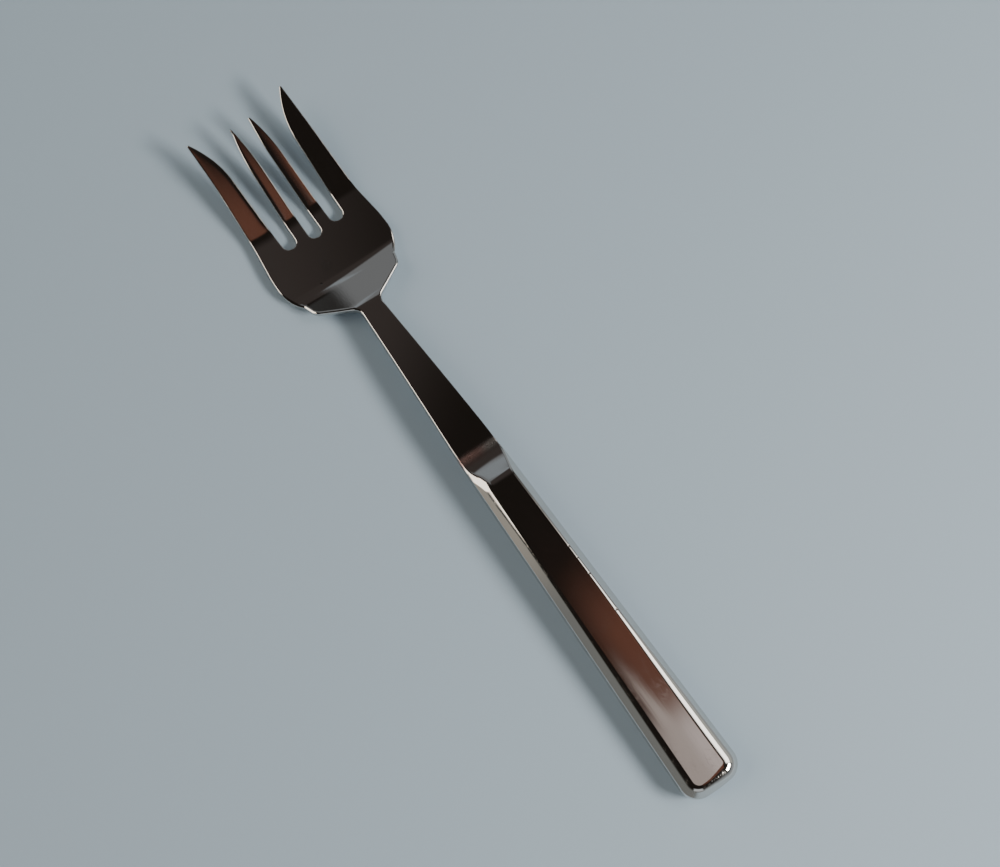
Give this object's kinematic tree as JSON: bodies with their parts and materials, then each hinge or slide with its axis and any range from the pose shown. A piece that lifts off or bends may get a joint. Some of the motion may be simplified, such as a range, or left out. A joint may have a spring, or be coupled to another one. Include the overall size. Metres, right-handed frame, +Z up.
{
  "type": "serving fork",
  "caption": "Polished steel serving fork with a long tapered flat handle, a stepped neck, notched shoulders and a broad shallow bowl with slender upturned tines.",
  "frame": {"origin": "on the table plane, under the middle of the fork's length and width", "axes": "+X from the butt of the handle to the tips of the tines, +Y to the fork's left seen from above with the tips away, +Z up from the table"},
  "size_m": [0.2394, 0.0384, 0.0101],
  "materials": {
    "serving_fork": "polished stainless steel with fine satin scratches, a few small nicks and a soft mirror reflection"
  },
  "bodies": {
    "root": {"serving_fork": "serving_fork"}
  },
  "joints": []
}
